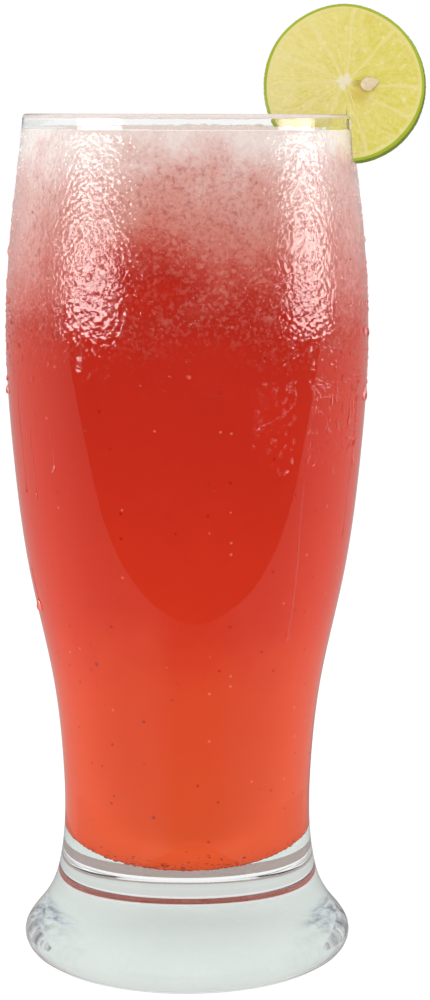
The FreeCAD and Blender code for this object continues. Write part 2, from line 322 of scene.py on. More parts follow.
def underside_material(name="stippled_underside", ring=False):
    """The pressed, stippled underside of the foot: it scatters light. Its sides carry painted patches of dark and
    bluish light for what the foot's sides refract. The ring that it stands on shows a painted shade of the gap when it
    is seen mirrored."""
    m = Nodes(name)
    co = m.coords()
    stipple = m.voronoi(co, 900.0)
    cloud = m.noise(co, 70.0, 4.0)
    col = m.mix(cloud, (0.77, 0.84, 0.80), (0.83, 0.895, 0.86))
    x, y = m.xyz(co)[:2]
    # painted patches of dark and bluish light at the sides of the foot, weaker in front, for what those sides refract
    # and mirror
    painted_side_patches = m.math("MULTIPLY", m.span(m.math("ABSOLUTE", x), 0.0185, 0.0255, 0.0, 1.0, True), m.span(m.noise(co, 150.0, 5.0, 0.65), 0.40, 0.58))
    painted_side_patches = m.math("MULTIPLY", painted_side_patches, m.span(y, -0.010, 0.004, 0.12, 1.0, True))
    col = m.mix(painted_side_patches, col, m.mix(m.span(m.noise(co, 420.0, 4.0, 0.7), 0.38, 0.62), lin(104, 110, 118), lin(196, 208, 226)))
    # the ring's painted mauve shade, for the shaded gap under it, shown where the ring is seen mirrored
    if ring:
        col = m.mix(cloud, lin(172, 156, 151), lin(190, 176, 171))
    n = m.bump(m.math("ADD", stipple, m.math("MULTIPLY", cloud, 0.4)), 0.4, 0.0003)
    p = m.principled(Base_Color=col, Roughness=0.5, IOR=1.45, Specular_IOR_Level=0.3)
    m.link(n, p.inputs["Normal"])
    if ring:
        # polished smooth by use, so it mirrors the drink. Where it is seen mirrored itself, and at its sides, it shows
        # painted colour instead: the painted mauve shade, and painted patches of light
        path = m.add("ShaderNodeLightPath")
        # painted patches of dark and pale light at the ring's sides, for what the foot refracts there
        beside = m.math("MULTIPLY", m.span(m.math("ABSOLUTE", x), 0.0255, 0.0290, 0.0, 1.0, True), m.span(y, 0.010, 0.020, 1.0, 0.0, True))
        painted_edge_light = m.mix(m.span(m.noise(co, 330.0, 4.0, 0.7), 0.36, 0.62), lin(112, 116, 120), lin(232, 234, 236))
        m.link(m.mix(beside, col, painted_edge_light), p.inputs["Base Color"])
        # a thin brown-pink line of painted reflection where the near edge meets the table
        r2 = m.math("SQRT", m.math("ADD", m.math("MULTIPLY", x, x), m.math("MULTIPLY", y, y)))
        line = m.math("MULTIPLY", m.math("MULTIPLY", m.span(r2, 0.0371, 0.0373, 0.0, 1.0), m.span(r2, 0.0378, 0.0380, 1.0, 0.0)), m.span(y, -0.012, -0.002, 1.0, 0.0, True))
        beside = m.math("MAXIMUM", beside, line)
        painted_edge_light = m.mix(line, painted_edge_light, lin(168, 112, 102))
        m.link(m.mix(beside, col, painted_edge_light), p.inputs["Base Color"])
        worn = m.principled(Base_Color=m.mix(cloud, (0.95, 0.97, 0.96), (0.98, 0.99, 0.985)), Roughness=0.02, IOR=1.5, Transmission_Weight=1.0)
        both = m.add("ShaderNodeMixShader")
        m.link(m.math("MAXIMUM", path.outputs["Is Reflection Ray"], beside), both.inputs[0])
        m.link(worn.outputs[0], both.inputs[1])
        m.link(p.outputs[0], both.inputs[2])
        light_passes(m, both.outputs[0])
        return m.mat
    m.link(p.outputs[0], m.out.inputs["Surface"])
    return m.mat


def drink_material():
    """Cloudy red juice that pales upwards into its froth."""
    m = Nodes("red_lemonade")
    co = m.coords()
    x, y, z = m.xyz(co)
    # uneven boundary between juice and froth, lower towards the sides
    drift = m.noise(co, 38.0, 5.0, 0.6)
    fine = m.noise(co, 230.0, 5.0, 0.65)
    curds = m.noise(co, 110.0, 4.0, 0.6)
    off = m.math("ABSOLUTE", m.math("ADD", x, -0.002))
    lift = m.span(off, 0.010, 0.036, 0.0, 0.0025, True)
    gap = m.math("ADD", m.math("POWER", m.math("DIVIDE", m.math("ADD", x, 0.0095), 0.0125), 2.0),
                 m.math("POWER", m.math("DIVIDE", m.math("ADD", z, -0.1655), 0.0095), 2.0))
    hole = m.span(gap, 0.0, 1.6, 0.0100, 0.0, True)
    zz = m.math("ADD", z, m.math("MULTIPLY", m.math("SUBTRACT", drift, 0.5), 0.024))
    zz = m.math("ADD", zz, m.math("MULTIPLY", m.math("SUBTRACT", curds, 0.5), 0.010))
    zz = m.math("ADD", zz, m.math("MULTIPLY", m.math("SUBTRACT", fine, 0.5), 0.010))
    zz = m.math("SUBTRACT", m.math("ADD", zz, lift), hole)
    t = m.span(zz, 0.020, 0.200)

    def at(mm):
        return (mm - 20.0) / 180.0

    # paler and more orange low down: partly the juice's own tone, partly painted light that comes in through the foot
    col = m.ramp(t, [
        (at(20), lin(216, 83, 43)),
        (at(45), lin(220, 77, 40)),
        (at(70), lin(219, 70, 38)),
        (at(90), lin(208, 52, 30)),
        (at(120), lin(197, 44, 27)),
        (at(150), lin(186, 41, 27)),
        (at(156), lin(176, 40, 28)),
        (at(163), lin(187, 56, 41)),
        (at(170), lin(195, 84, 68)),
        (at(177), lin(202, 112, 97)),
        (at(184), lin(212, 144, 132)),
        (at(190), lin(226, 184, 176)),
        (at(196), lin(238, 220, 213)),
    ])
    # pulp: small dark and pale specks
    pulp = m.voronoi(co, 420.0)
    cell = m.voronoi(co, 420.0, out="Color")
    pick = m.xyz(cell)[0]
    dark = m.math("MULTIPLY", m.math("LESS_THAN", pulp, 0.16), m.math("GREATER_THAN", pick, 0.90))
    pale = m.math("MULTIPLY", m.math("LESS_THAN", pulp, 0.14), m.math("LESS_THAN", pick, 0.08))
    col = m.mix(m.math("MULTIPLY", dark, 0.45), col, lin(120, 16, 12))
    col = m.mix(m.math("MULTIPLY", pale, 0.35), col, lin(244, 150, 120))
    # the froth's bubbles and grain
    cells = m.voronoi(co, 1500.0, out="Distance")
    tone = m.xyz(m.voronoi(co, 1500.0, out="Color"))[0]
    grain = m.noise(co, 900.0, 3.0, 0.7)
    froth = m.span(zz, 0.152, 0.182, 0, 1, True)
    shade = m.math("MULTIPLY", m.span(cells, 0.0, 0.6, 0.0, 1.0), froth)
    col = m.mix(m.math("MULTIPLY", shade, 0.12), col, lin(255, 250, 246))
    grainy = m.math("MULTIPLY", m.span(zz, 0.145, 0.166, 0, 1, True), m.span(zz, 0.184, 0.196, 1, 0.25, True))
    col = m.mix(m.math("MULTIPLY", m.span(tone, 0.55, 1.0, 0.0, 0.40), grainy), col, lin(226, 150, 136))
    col = m.mix(m.math("MULTIPLY", m.span(grain, 0.50, 0.72, 0.0, 0.55), grainy), col, lin(150, 36, 28))
    # painted glow near its sides: colour is added there for light that has crept through the drink and for the
    # reflection at its edges
    side = m.add("ShaderNodeLayerWeight")
    side.inputs["Blend"].default_value = 0.5
    glow = m.span(side.outputs["Facing"], 0.07, 0.25, 0.0, 1.0, True)
    col = m.mix(glow, col, m.mix(m.span(zz, 0.155, 0.180, 0.0, 1.0), (0.13, 0.022, 0.010), (0.19, 0.22, 0.22)), "ADD")
    # seen mirrored inside the foot it shows a painted duller colour, and it lends little red to what stands round it
    path = m.add("ShaderNodeLightPath")
    col = m.mix(path.outputs["Is Reflection Ray"], col, lin(176, 112, 103))
    col = m.mix(path.outputs["Is Diffuse Ray"], col, (0.80, 0.80, 0.80))
    n = m.bump(m.math("MULTIPLY", cells, froth), 0.5, 0.0004)
    p = m.principled(Base_Color=col, Roughness=0.6, Specular_IOR_Level=0.0)
    m.link(n, p.inputs["Normal"])
    m.link(p.outputs[0], m.out.inputs["Surface"])
    return m.mat


def lime_material():
    """Wet cut lime: green rind, pale pith and walls, yellow flesh in sacs."""
    m = Nodes("lime_flesh")
    co = m.coords()
    x = m.xyz(co)[0]
    za = m.add("ShaderNodeAttribute", attribute_name="lime_zone")
    zb = m.add("ShaderNodeAttribute", attribute_name="lime_zone_b")
    rind, pale, own = m.rgb(za.outputs["Color"])
    sac = za.outputs["Alpha"]
    tan, core = m.rgb(zb.outputs["Color"])[:2]
    cloud = m.noise(co, 170.0, 4.0)
    side = m.span(m.math("ADD", x, m.math("MULTIPLY", m.math("SUBTRACT", cloud, 0.5), 0.016)), 0.020, 0.044)
    flesh = m.mix(side, lin(237, 223, 146), lin(223, 209, 92))
    flesh = m.mix(m.math("MULTIPLY", own, 0.45), flesh, m.mix(side, lin(229, 212, 120), lin(214, 198, 74)))
    flesh = m.mix(m.math("MULTIPLY", m.math("SUBTRACT", 1.0, sac), 0.30), flesh, lin(240, 229, 165))
    streak = m.noise(co, 900.0, 3.0)
    flesh = m.mix(m.span(streak, 0.56, 0.75, 0.0, 0.5), flesh, lin(246, 238, 188))
    col = m.mix(m.math("MULTIPLY", pale, 0.72), flesh, lin(234, 221, 152))
    col = m.mix(core, col, lin(238, 225, 190))
    # painted shade: a darker tan where the pip shades the face, and in its hollows
    col = m.mix(m.math("MULTIPLY", tan, 0.75), col, lin(208, 180, 74))
    green = m.mix(m.noise(co, 400.0, 3.0), lin(176, 190, 50), lin(154, 172, 36))
    deep = m.mix(m.noise(co, 600.0, 4.0), lin(126, 142, 32), lin(92, 106, 20))
    # painted shade: the rind's green is deeper where the tan channel is set, as on the rind's outside
    green = m.mix(tan, green, deep)
    col = m.mix(rind, col, green)
    fine = m.bump(m.noise(co, 1400.0, 3.0), 0.35, 0.0002)
    p = m.principled(Base_Color=col, Roughness=m.span(streak, 0.3, 0.7, 0.16, 0.34), IOR=1.38)
    m.link(fine, p.inputs["Normal"])
    m.link(p.outputs[0], m.out.inputs["Surface"])
    return m.mat


def rind_material():
    """The lime's green skin, dull and pitted."""
    m = Nodes("rind_skin")
    co = m.coords()
    green = m.mix(m.noise(co, 450.0, 4.0), lin(132, 148, 34), lin(94, 110, 20))
    green = m.mix(m.span(m.voronoi(co, 1300.0), 0.0, 0.35, 0.5, 0.0), green, lin(70, 88, 14))
    p = m.principled(Base_Color=green, Roughness=0.6, Specular_IOR_Level=0.12)
    m.link(m.bump(m.voronoi(co, 1300.0), 0.35, 0.0002), p.inputs["Normal"])
    m.link(p.outputs[0], m.out.inputs["Surface"])
    return m.mat


def pip_material():
    """The pip's pale damp skin, faintly ribbed."""
    m = Nodes("pip_skin")
    co = m.coords()
    col = m.mix(m.noise(co, 500.0, 4.0), lin(238, 222, 190), lin(222, 196, 150))
    col = m.mix(m.span(m.noise(co, 1500.0, 2.0), 0.5, 0.8, 0.0, 0.4), col, lin(206, 170, 128))
    p = m.principled(Base_Color=col, Roughness=0.42)
    m.link(m.bump(m.noise(co, 1100.0, 3.0), 0.4, 0.0002), p.inputs["Normal"])
    m.link(p.outputs[0], m.out.inputs["Surface"])
    return m.mat


# ---------------------------------------------------------------- the pieces
lip_r = (OUTER[-1][0] - INNER[0][0]) / 2
lip_m = (OUTER[-1][0] + INNER[0][0]) / 2
lip_z = OUTER[-1][1]
lip = [(lip_m + lip_r * math.cos(a), lip_z + lip_r * math.sin(a)) for a in np.linspace(0, math.pi, 14)[1:-1]]
drop = (PUNT_R ** 2 - PUNT_RISE ** 2) / (2 * PUNT_RISE)
big = drop + PUNT_RISE
punt = [(r, math.sqrt(big * big - r * r) - drop) for r in np.linspace(0, PUNT_R - 0.5, 26)]
punt += [(PUNT_R - 0.2, 0.012), (PUNT_R + 0.1, 0.0)]
profile = punt + [(33.5, 0.0)] + outer_c.tolist() + lip + inner_c.tolist()
glass = lathe("glass_body", profile)
glass.data.materials.append(glass_material())
glass.data.materials.append(underside_material())
glass.data.materials.append(underside_material("standing_ring", True))
glass.data.materials.append(glass_material("clear_rim", 1.3))
for poly in glass.data.polygons:
    c = poly.center
    c_r = math.hypot(c.x, c.y)
    if c.z < 0.0026 and c_r < 0.0305:
        poly.material_index = 1
    elif c.z < 0.0004 and c_r < 0.0384:
        poly.material_index = 2
    elif 0.1966 < c.z < 0.1988 and c_r > 0.034:
        poly.material_index = 3
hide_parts("glass")
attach(glass, "root")

INTO = 0.18  # mm, how far the drink reaches into the wall


def contents(name, z0, z1, top_fn=None):
    """The drink or its froth, from height z0 to z1, following the inside of the wall."""
    prof = []
    if z0 < 30:
        low = inner_c[::-1]
        for r, z in low:
            if z > z1:
                break
            prof.append((r + (INTO if z > 25 else INTO * 0.5), z - (INTO if z < 34 else 0)))
        prof[0] = (0.0, prof[0][1])
    else:
        prof.append((0.0, z0))
        for r in np.linspace(4, r_in(z0) + INTO - 0.3, 8):
            prof.append((r, z0))
        for z in np.arange(z0, z1, 0.6):
            prof.append((r_in(z) + INTO, z))
    return prof


drink_prof = contents("drink", 20, 180.0)
last_r = r_in(180.0) + INTO
drink_prof += [(last_r, 180.0)] + [(r, 180.0) for r in np.linspace(last_r - 1, 0, 12)]
drink = lathe("drink_body", drink_prof, 160)
juice = drink_material()
drink.data.materials.append(juice)
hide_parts("drink")
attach(drink, "root")

def curds(x, y):
    """How far the froth's top stands up from its plain crown (mm)."""
    h = 0.0
    for k, (kx, ky, ph) in enumerate(CURD_WAVES):
        h = h + np.sin(kx * x + ky * y + ph) / (1 + 0.35 * k)
    return 0.055 * h


wave_rng = np.random.default_rng(3)
CURD_WAVES = [(wave_rng.normal() * (0.16 + 0.09 * k), wave_rng.normal() * (0.16 + 0.09 * k), wave_rng.uniform(0, 6.3)) for k in range(14)]
froth_prof = contents("froth", 180.0, FROTH_Z - 0.3)
froth_prof += [(r_in(FROTH_Z) + INTO, FROTH_Z - 0.2), (r_in(FROTH_Z) - 0.25, FROTH_Z)]
froth_prof += [(r, FROTH_Z + 0.4 * (1 - (r / 36.2) ** 2)) for r in np.linspace(35.5, 0, 60)]
froth = lathe("froth_layer", froth_prof, 160)
for v in froth.data.vertices:
    if v.co.z > (FROTH_Z - 0.5) * MM:
        rr = math.hypot(v.co.x, v.co.y) / MM
        v.co.z += float(curds(v.co.x / MM, v.co.y / MM)) * MM * (0.35 + 0.65 * step01(36.6 - rr, 0.0, 3.0))
froth.data.materials.append(juice)
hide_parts("foam")
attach(froth, "root")

# ------------------------------------------------------------------ lime wheel
LOBES = [0.988, 0.957, 0.940, 0.972, 0.968, 0.996, 0.991, 1.016, 1.018, 0.960, 1.000, 1.006]
SLICE_R, THICK, SLIT_TOP, SLIT_W = 18.6, 4.8, 6.35, 3.1
TURN, LEAN, SPIN, SHIFT, SEAT_R = math.radians(6), math.radians(9), math.radians(9), 0.70, 37.2
WALLS_DEG = [-6.0, 44.5, 81.5, 117.5, 153.0, 180.5, 212.0, 247.0, 286.0, 329.0]


def turn_x(a):
    return np.array([[1, 0, 0], [0, math.cos(a), -math.sin(a)], [0, math.sin(a), math.cos(a)]])


def turn_z(a):
    return np.array([[math.cos(a), -math.sin(a), 0], [math.sin(a), math.cos(a), 0], [0, 0, 1]])


lime_turn = turn_z(-SPIN) @ turn_x(-LEAN)
lime_clear = THICK / 2 * math.tan(LEAN) + 0.05
lime_mid = np.array([-SHIFT, 0, SLIT_TOP * math.cos(TURN) + SLIT_W / 2 * math.sin(TURN) + lime_clear])
lime_at = turn_z(-SPIN) @ (np.array([SEAT_R, 0, 0]) + turn_x(-LEAN) @ lime_mid) + np.array([0, 0, LIP_TOP])


def lime_world(p):
    """Wheel coordinates (across, through, up), mm, to the frame's, mm."""
    return p @ lime_turn.T + lime_at


def lime_radius(theta):
    """The wheel's outline, a periodic cubic through its lobes."""
    out = 3 / (2 + math.cos(math.radians(30)))
    pole = np.array([[SLICE_R * k * out * math.cos(math.radians(30 * i)), SLICE_R * k * out * math.sin(math.radians(30 * i))]
                     for i, k in enumerate(LOBES)])
    t = np.linspace(0, 12, 1440, endpoint=False)
    i = np.floor(t).astype(int)
    f = (t - i)[:, None]
    w = [(1 - f) ** 3, 3 * f ** 3 - 6 * f ** 2 + 4, -3 * f ** 3 + 3 * f ** 2 + 3 * f + 1, f ** 3]
    c = sum(w[k] * pole[(i + k - 1) % 12] for k in range(4)) / 6
    a = np.arctan2(c[:, 1], c[:, 0]) % (2 * math.pi)
    order = np.argsort(a)
    return np.interp(theta % (2 * math.pi), a[order], np.hypot(c[:, 0], c[:, 1])[order], period=2 * math.pi)


def wobble(a, seed, terms=5, power=1.0):
    """A smooth random function of an angle, about -1 to 1."""
    g = np.random.default_rng(seed)
    out = 0
    for k in range(1, terms + 1):
        out = out + g.normal() / k ** power * np.sin(k * a + g.uniform(0, 6.3))
    return out / 1.6


def lime_face(theta, rho, seed):
    """Depth into the wheel (mm) and zones of a cut face: rind, pale, vesicle tone, vesicle edge."""
    g = np.random.default_rng(seed)
    R = lime_radius(theta)
    e = R - rho
    rind_w = 0.66 + 0.10 * wobble(theta, seed + 1, 7, 0.6)
    pith_w = 0.75 + 0.25 * wobble(theta, seed + 2, 6, 0.7)
    # flesh between the walls: teardrop sacs, longer than wide, pointing at the core
    walls = np.radians(WALLS_DEG)
    bend = 0.05 * np.sin(rho / 4.0 + 1.3)
    gap = np.min(np.abs((theta[..., None] + bend[..., None] - walls + math.pi) % (2 * math.pi) - math.pi), axis=-1)
    across = gap * rho
    wall_w = 0.13 + 0.13 * step01(rho, 9, 16) + 0.06 * wobble(theta * 3 + rho * 0.4, seed + 3)
    wall = 1 - step01(across, wall_w, wall_w + 0.32)
    core_r = 1.5 + 0.35 * wobble(theta, seed + 4, 9, 0.3)
    core = 1 - step01(rho, core_r - 0.2, core_r + 0.35)
    pith = 1 - step01(e, rind_w + pith_w - 0.25, rind_w + pith_w + 0.3)
    rind = 1 - step01(e, rind_w - 0.12, rind_w + 0.12)
    seeds_t = g.uniform(0, 2 * math.pi, 620)
    seeds_r = 1.6 + (15.6) * np.sqrt(g.uniform(0.0, 1, 620))
    f1 = np.full(theta.shape, 9.0)
    f2 = np.full(theta.shape, 9.0)
    own = np.zeros(theta.shape)
    for st, sr in zip(seeds_t, seeds_r):
        dt = (theta - st + math.pi) % (2 * math.pi) - math.pi
        d = np.hypot(dt * (rho + sr) / 2 / (0.42 + 0.022 * sr), (rho - sr) / 1.9)
        nearer = d < f1
        f2 = np.where(nearer, f1, np.minimum(f2, d))
        own = np.where(nearer, g.uniform(), own)
        f1 = np.where(nearer, d, f1)
    sac = step01(f2 - f1, 0.0, 0.55)
    flesh = (1 - wall) * (1 - core) * (1 - pith)
    depth = 0.22 - 0.11 * sac * flesh + 0.05 * (own - 0.5) * flesh
    depth += -0.05 * wall * (1 - core) + 0.02
    depth = depth * (1 - pith) + 0.12 * pith
    depth = depth * (1 - core) + 0.10 * core
    depth += 0.10 * step01(0.35 - e, 0, 0.35)
    pale = np.maximum(np.maximum(wall * 0.95, pith * 0.8), core)
    return depth, rind, pale, own, sac, core


def lime_mesh():
    n_t, n_r, n_rim = 372, 74, 9
    slit_dir = -math.pi / 2 + TURN
    phi = np.linspace(0, 2 * math.pi, n_t + 1)
    # radii: even over the flesh, closer together by the rind
    frac = np.concatenate([np.linspace(0.0, 0.93, n_r - 12), np.linspace(0.93, 1.0, 13)[1:]])
    frac[0] = 0.004
    P, F = np.meshgrid(phi, frac, indexing="ij")
    theta = slit_dir + P
    R = lime_radius(theta)
    down = np.array([math.sin(TURN), -math.cos(TURN)])
    side = np.array([math.cos(TURN), math.sin(TURN)])

    def lip_out(z):
        return np.where(z < 199, r_out(np.minimum(z, 199.0)), 37.2 + np.sqrt(np.clip(1 - (z - 199) ** 2, 0, 1)))

    def lip_in(z):
        return np.where(z < 199, r_in(np.minimum(z, 199.0)), 37.2 - np.sqrt(np.clip(1 - (z - 199) ** 2, 0, 1)))

    def spread(s, d, v):
        """Moves points sideways out of the slit, so that its sides press on the wall."""
        sign = np.sign(d)
        sign = np.where(sign == 0, 1.0, sign)
        half = np.zeros(s.shape)
        for which, wallf, gap in ((1.0, lip_out, 0.04), (-1.0, lip_in, -0.04)):
            h = np.full(s.shape, 1.0)
            for _ in range(8):
                u = down[0] * s + side[0] * which * h
                w = down[1] * s + side[1] * which * h
                p = lime_world(np.stack([u, v, w], -1))
                rr = np.hypot(p[..., 0], p[..., 1])
                want = wallf(np.minimum(p[..., 2], 200.0)) + gap
                h = np.clip(h + which * (want - rr), 0.0, 2.2)
            half = np.where(sign == which, h, half)
        p = lime_world(np.stack([down[0] * s, v, down[1] * s], -1))
        half = np.where((p[..., 2] < 200.06) & (s > 0), half * np.sqrt(step01(200.06 - p[..., 2], 0.0, 0.5)), 0.0)
        reach = 7.0
        ad = np.abs(d)
        moved = np.where(ad < reach, half + ad * (1 - half / reach), ad)
        return sign * moved, half

    def face(seed, through, mirror):
        rho = R * F
        depth, rind, pale, own, sac, core = lime_face(theta if not mirror else theta, rho, seed)
        s = rho * np.cos(P)
        d = rho * np.sin(P)
        d[0, :] = 1e-9
        d[-1, :] = -1e-9
        # the cavity that the pip lies in, and the one that it left beside the core
        u0 = down[0] * s + side[0] * d
        w0 = down[1] * s + side[1] * d
        if not mirror:
            hollow = np.exp(-(((u0 - 5.6) / 2.9) ** 2 + ((w0 + 0.5) / 1.7) ** 2) ** 1.6)
            notch = np.exp(-(((u0 - 3.0) / 1.15) ** 2 + ((w0 + 0.15) / 0.75) ** 2) ** 2)
            depth = depth + 0.55 * hollow + 0.55 * notch
            # painted shade round the pip: a darker tan below it, and in the notch that it left beside the core
            tan = np.clip(np.exp(-(((u0 - 3.9) / 2.6) ** 2 + ((w0 + 2.6) / 2.1) ** 2) ** 1.3) * 1.0 + notch * 0.5, 0, 1)
        else:
            tan = np.zeros(depth.shape)
        v = through * (THICK / 2 - depth)
        d2, half = spread(s, d, v)
        u = down[0] * s + side[0] * d2
        w = down[1] * s + side[1] * d2
        return np.stack([u, v, w], -1), rind, pale, own, sac, tan, core, half

    front = face(31, -1.0, False)
    back = face(47, 1.0, True)
    # the rind's outside, bulging a little, with its oil pits
    g = np.random.default_rng(5)
    rim = []
    v_front, v_back = front[0][:, -1, 1], back[0][:, -1, 1]
    for k in range(1, n_rim):
        f = k / n_rim
        bulge = 0.16 * math.sin(math.pi * f) ** 0.7
        pits = 0.035 * g.normal(size=n_t + 1)
        pits[-1] = pits[0]
        s = (R[:, -1] + bulge + pits) * np.cos(phi)
        d = (R[:, -1] + bulge + pits) * np.sin(phi)
        d[0], d[-1] = 1e-9, -1e-9
        v = v_front * (1 - f) + v_back * f
        d2, _ = spread(s, d, v)
        rim.append(np.stack([down[0] * s + side[0] * d2, v, down[1] * s + side[1] * d2], -1))
    rim = np.stack(rim, 1)

    count = (n_t + 1) * len(frac)
    verts = np.vstack([front[0].reshape(-1, 3), back[0].reshape(-1, 3), rim.reshape(-1, 3)])
    zone = []
    for part in (front, back):
        zone.append(np.stack([part[1], part[2], part[3], part[4], part[5], part[6]], -1).reshape(-1, 6))
    rim_zone = np.zeros((rim.shape[0] * rim.shape[1], 6))
    # the rind's outside: rind, and full painted shade in the tan channel
    rim_zone[:, 0] = 1
    rim_zone[:, 4] = 1
    zone.append(rim_zone)
    zone = np.vstack(zone)
    nr = len(frac)

    def idx_f(i, j):
        return i * nr + j

    def idx_b(i, j):
        return count + i * nr + j

    def idx_r(i, k):
        return 2 * count + i * (n_rim - 1) + k - 1

    faces = []
    for i in range(n_t):
        for j in range(nr - 1):
            faces.append((idx_f(i, j), idx_f(i, j + 1), idx_f(i + 1, j + 1), idx_f(i + 1, j)))
            faces.append((idx_b(i, j), idx_b(i + 1, j), idx_b(i + 1, j + 1), idx_b(i, j + 1)))
        col = [idx_f(i, nr - 1)] + [idx_r(i, k) for k in range(1, n_rim)] + [idx_b(i, nr - 1)]
        nxt = [idx_f(i + 1, nr - 1)] + [idx_r(i + 1, k) for k in range(1, n_rim)] + [idx_b(i + 1, nr - 1)]
        for k in range(n_rim):
            faces.append((col[k], col[k + 1], nxt[k + 1], nxt[k]))
    # the two hubs
    hub = len(verts)
    verts = np.vstack([verts, [[0, -THICK / 2 + 0.12, 0], [0, THICK / 2 - 0.12, 0]]])
    zone = np.vstack([zone, [[0, 1, 0.5, 1, 0, 1], [0, 1, 0.5, 1, 0, 1]]])
    for i in range(n_t):
        faces.append((hub, idx_f(i, 0), idx_f(i + 1, 0)))
        faces.append((hub + 1, idx_b(i + 1, 0), idx_b(i, 0)))
    # the slit's two sides, from the front face's edge vertices through to the back
    extra = []
    for row, flip in ((0, False), (n_t, True)):
        opened = [j for j in range(nr) if front[7][row, j] > 1e-6 or back[7][row, j] > 1e-6]
        grid = []
        for j in range(max(opened[0] - 1, 0), nr):
            if j == nr - 1:
                grid.append([idx_f(row, j)] + [idx_r(row, k) for k in range(1, n_rim)] + [idx_b(row, j)])
                continue
            a, b = front[0][row, j], back[0][row, j]
            line = [idx_f(row, j)]
            for k in range(1, n_rim):
                line.append(len(verts) + len(extra))
                extra.append(a * (1 - k / n_rim) + b * k / n_rim)
            grid.append(line + [idx_b(row, j)])
        for a, b in zip(grid, grid[1:]):
            for k in range(n_rim):
                q = (a[k], a[k + 1], b[k + 1], b[k])
                faces.append(q[::-1] if flip else q)
    verts = np.vstack([verts, extra])
    zone = np.vstack([zone, np.tile([0, 0.15, 0.5, 0.6, 0.2, 0], (len(extra), 1))])
    return verts, faces, zone, 2 * count, 2 * count + rim.shape[0] * rim.shape[1]


def pip(verts, faces, zone, at, size, angle, lean, n_a=26, n_b=18):
    """A teardrop pip, its point towards `angle` in the wheel's plane."""
    base = len(verts)
    new = []
    for i in range(n_b + 1):
        t = i / n_b
        x = -math.cos(math.pi * t)
        r = math.sin(math.pi * t) ** 0.85 * (1 - 0.42 * max(x, 0) ** 1.1) * (1 + 0.10 * (x < 0))
        for k in range(n_a):
            a = 2 * math.pi * k / n_a
            p = np.array([x * size[0] / 2 * (1.12 if x > 0 else 1), r * math.cos(a) * size[1] / 2, r * math.sin(a) * size[2] / 2])
            p[1] += 0.03 * math.sin(5 * a + 2 * x)
            ca, sa = math.cos(angle), math.sin(angle)
            q = np.array([p[0] * ca - p[2] * sa, p[1] + lean * p[0], p[0] * sa + p[2] * ca])
            new.append(q + at)
    for i in range(n_b):
        for k in range(n_a):
            m = (k + 1) % n_a
            faces.append((base + i * n_a + k, base + i * n_a + m, base + (i + 1) * n_a + m, base + (i + 1) * n_a + k))
    zone = np.vstack([zone, np.tile([0, 0, 0.5, 1, 0, 0], (len(new), 1))])
    return np.vstack([verts, np.array(new)]), faces, zone, len(faces) - n_b * n_a


lv, lf, lz, first_skin, end_skin = lime_mesh()
lv, lf, lz, first_pip = pip(lv, lf, lz, np.array([5.75, -THICK / 2 + 0.30, -0.25]), (4.0, 1.5, 3.0), math.radians(20), 0.03)
lime = new_object("lime_wheel", lime_world(lv) * MM, lf, False)
lime.data.materials.append(lime_material())
lime.data.materials.append(pip_material())
lime.data.materials.append(rind_material())
for nm, cols in (("lime_zone", (0, 1, 2, 3)), ("lime_zone_b", (4, 5, 4, 5))):
    att = lime.data.attributes.new(nm, "FLOAT_COLOR", "POINT")
    att.data.foreach_set("color", np.ascontiguousarray(lz[:, cols], dtype=np.float32).ravel())
for poly in lime.data.polygons[first_pip:]:
    poly.material_index = 1
for poly in lime.data.polygons[:first_pip]:
    if any(first_skin <= v < end_skin for v in poly.vertices):
        poly.material_index = 2
bm = bmesh.new()
bm.from_mesh(lime.data)
bmesh.ops.remove_doubles(bm, verts=bm.verts, dist=2e-6)
bmesh.ops.dissolve_degenerate(bm, dist=1e-6, edges=bm.edges)
bmesh.ops.recalc_face_normals(bm, faces=bm.faces)
bm.to_mesh(lime.data)
bm.free()
lime.data.shade_smooth()
lime.data.set_sharp_from_angle(angle=math.radians(60))
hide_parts("lime_slice")
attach(lime, "root")

# ------------------------------------------------------------ froth bubbles
def bubble_material():
    """The thin skins of the larger bubbles in the froth."""
    m = Nodes("bubble_skin")
    co = m.coords()
    col = m.mix(m.noise(co, 260.0, 3.0), lin(240, 220, 213), lin(232, 198, 189))
    # painted highlight: the skins turn paler where they face away from view
    rim_ = m.add("ShaderNodeLayerWeight")
    rim_.inputs["Blend"].default_value = 0.35
    col = m.mix(rim_.outputs["Facing"], col, lin(248, 236, 230))
    p = m.principled(Base_Color=col, Roughness=0.18, IOR=1.33)
    m.link(m.bump(m.noise(co, 900.0, 2.0), 0.2, 0.0001), p.inputs["Normal"])
    m.link(p.outputs[0], m.out.inputs["Surface"])
    return m.mat


def small_dome(verts, faces, c, r, high, seg, rings, up=(0, 0, 1)):
    base = len(verts)
    up = np.array(up, float)
    side = np.cross(up, [0.3, 0.8, 0.52])
    side /= np.linalg.norm(side)
    other = np.cross(up, side)
    for i in range(rings):
        q = 1 - i / rings
        h = high * math.sqrt(max(1 - q * q, 0)) if i else -0.05
        for k in range(seg):
            a = 2 * math.pi * k / seg
            verts.append(c + (side * math.cos(a) + other * math.sin(a)) * r * q + up * h)
    verts.append(c + up * high)
    for i in range(rings - 1):
        for k in range(seg):
            faces.append((base + i * seg + k, base + i * seg + (k + 1) % seg, base + (i + 1) * seg + (k + 1) % seg, base + (i + 1) * seg + k))
    for k in range(seg):
        faces.append((base + (rings - 1) * seg + k, base + (rings - 1) * seg + (k + 1) % seg, len(verts) - 1))


